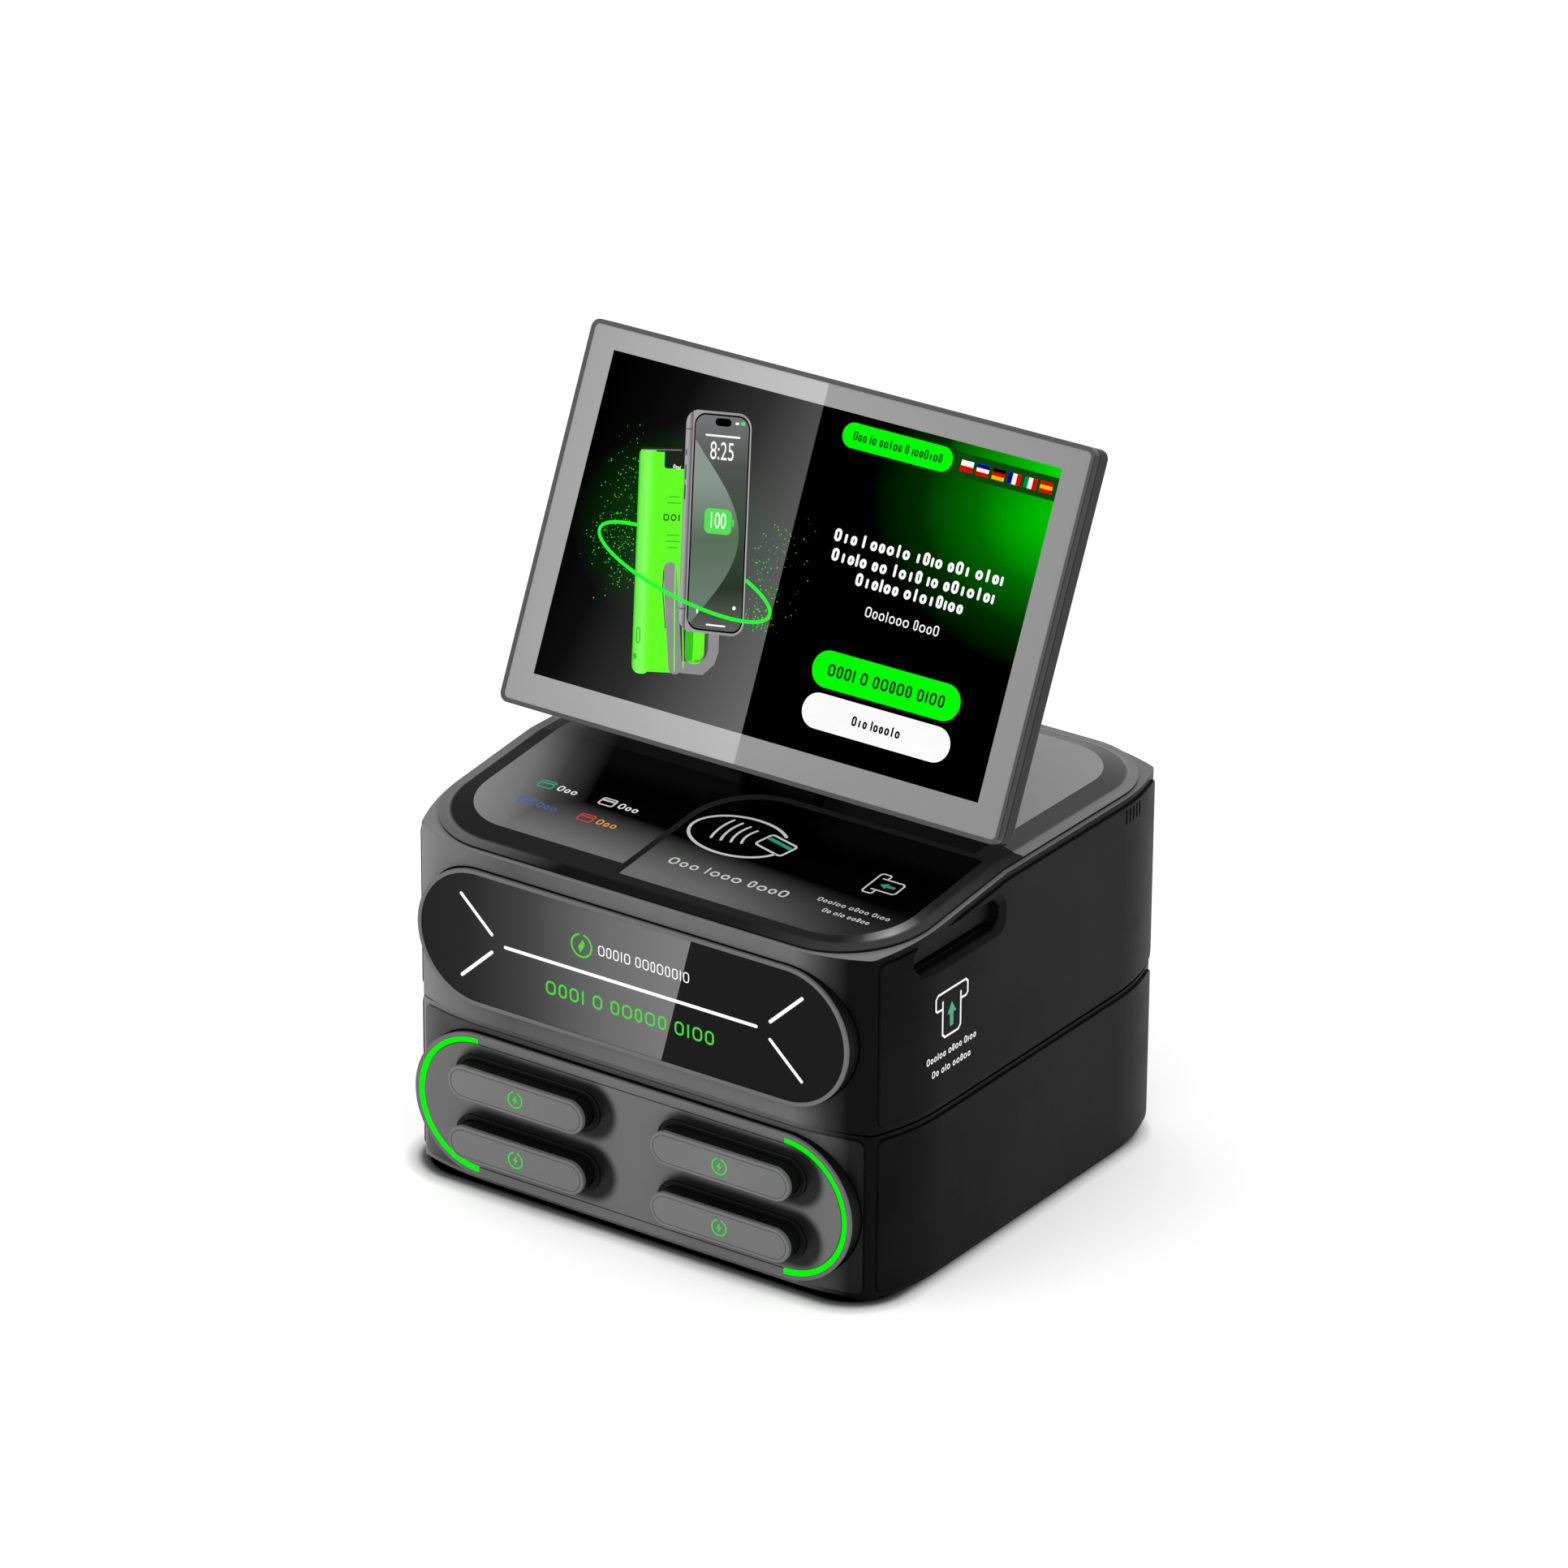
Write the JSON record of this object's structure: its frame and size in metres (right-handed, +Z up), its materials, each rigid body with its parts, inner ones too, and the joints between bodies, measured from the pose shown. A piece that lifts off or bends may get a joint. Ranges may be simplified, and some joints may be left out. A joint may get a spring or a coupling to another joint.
{
  "type": "phone charging kiosk",
  "caption": "Countertop rental station for portable phone chargers: two stacked housings, sliding power banks in a lit slot face, tap and card payment top, tilting touch screen.",
  "frame": {"origin": "centre of the overall box at the table plane", "axes": "+X to the user's right, -Y towards the user, +Z up"},
  "size_m": [0.2438, 0.228, 0.3241],
  "materials": {
    "housing_black": "moulded black ABS, satin",
    "panel_black": "black powder coat, satin",
    "trim_black": "black, fine matt",
    "face_grey": "dark grey, satin",
    "top_gloss": "piano black, polished",
    "window_smoke": "smoked clear acrylic, polished",
    "rim_grey": "anodised dark grey",
    "light_green": "green light guide",
    "cap_grey": "dark grey, satin",
    "bank_black": "black, fine texture",
    "screen_glass": "polished, back-printed",
    "screen_rim": "anodised black",
    "display": "display module",
    "circuit_board": "green solder mask",
    "bright_steel": "brushed",
    "contact_brass": "gold plated",
    "foot_rubber": "matt",
    "switch_black": "gloss",
    "socket_black": "satin",
    "inner_grey": "matt"
  },
  "bodies": {
    "station": {"base_tray": "trim_black", "card_pocket": "trim_black", "card_reader": "inner_grey", "cover_screws": "bright_steel", "front_top_plate": "top_gloss", "hinge_base": "bright_steel", "hinge_pin": "bright_steel", "lock_motors": "inner_grey", "lower_front_panel": "panel_black", "lower_housing": "housing_black", "lower_side_panel_left": "panel_black", "lower_side_panel_right": "panel_black", "main_board": "circuit_board", "power_inlet": "socket_black", "power_supply": "bright_steel", "rear_panel": "panel_black", "rear_top_plate": "top_gloss", "rubber_feet": "foot_rubber", "sign_body": "trim_black", "sign_rim": "rim_grey", "sign_window": "window_smoke", "sleeve_carriers": "inner_grey", "slot_collars": "trim_black", "slot_contact_blocks": "inner_grey", "slot_face_body": "trim_black", "slot_face_plate": "face_grey", "slot_light_guides": "light_green", "slot_sleeve_1": "inner_grey", "slot_sleeve_2": "inner_grey", "slot_sleeve_3": "inner_grey", "slot_sleeve_4": "inner_grey", "speaker": "trim_black", "tap_antenna": "circuit_board", "top_plate_gasket": "trim_black", "upper_housing": "housing_black", "upper_side_panel_left": "panel_black", "upper_side_panel_right": "panel_black"},
    "screen": {"screen_frame": "screen_rim", "touch_glass": "screen_glass", "lcd_panel": "display", "screen_back_cover": "housing_black", "screen_board": "circuit_board", "hinge_leaf": "bright_steel"},
    "power_bank_1": {"power_bank_shell_1": "bank_black", "power_bank_cap_1": "cap_grey", "power_bank_contacts_1": "contact_brass"},
    "power_bank_2": {"power_bank_shell_2": "bank_black", "power_bank_cap_2": "cap_grey", "power_bank_contacts_2": "contact_brass"},
    "power_bank_3": {"power_bank_shell_3": "bank_black", "power_bank_cap_3": "cap_grey", "power_bank_contacts_3": "contact_brass"},
    "power_bank_4": {"power_bank_shell_4": "bank_black", "power_bank_cap_4": "cap_grey", "power_bank_contacts_4": "contact_brass"},
    "lock_1": {"lock_hook_1": "bright_steel"},
    "lock_2": {"lock_hook_2": "bright_steel"},
    "lock_3": {"lock_hook_3": "bright_steel"},
    "lock_4": {"lock_hook_4": "bright_steel"},
    "switch": {"switch_rocker": "switch_black"}
  },
  "joints": [
    {"name": "screen_tilt", "type": "hinge", "parent": "station", "child": "screen", "pos_m": [0, 0.00339, 0.17771], "axis": [1, 0, 0], "range_deg": [-40, 15]},
    {"name": "bank_slide_1", "type": "slide", "parent": "station", "child": "power_bank_1", "axis": [0, -1, 0], "range_m": [0, 0.14]},
    {"name": "bank_slide_2", "type": "slide", "parent": "station", "child": "power_bank_2", "axis": [0, -1, 0], "range_m": [0, 0.14]},
    {"name": "bank_slide_3", "type": "slide", "parent": "station", "child": "power_bank_3", "axis": [0, -1, 0], "range_m": [0, 0.14]},
    {"name": "bank_slide_4", "type": "slide", "parent": "station", "child": "power_bank_4", "axis": [0, -1, 0], "range_m": [0, 0.14]},
    {"name": "lock_swing_1", "type": "hinge", "parent": "station", "child": "lock_1", "pos_m": [-0.0915, -0.02, 0.05185], "axis": [0, 0, 1], "range_deg": [0, 20]},
    {"name": "lock_swing_2", "type": "hinge", "parent": "station", "child": "lock_2", "pos_m": [0.0915, -0.02, 0.05185], "axis": [0, 0, -1], "range_deg": [0, 20]},
    {"name": "lock_swing_3", "type": "hinge", "parent": "station", "child": "lock_3", "pos_m": [-0.0915, -0.02, 0.02475], "axis": [0, 0, 1], "range_deg": [0, 20]},
    {"name": "lock_swing_4", "type": "hinge", "parent": "station", "child": "lock_4", "pos_m": [0.0915, -0.02, 0.02475], "axis": [0, 0, -1], "range_deg": [0, 20]},
    {"name": "switch_rock", "type": "hinge", "parent": "station", "child": "switch", "pos_m": [0.032, 0.1062, 0.037], "axis": [1, 0, 0], "range_deg": [-18, 0]}
  ]
}
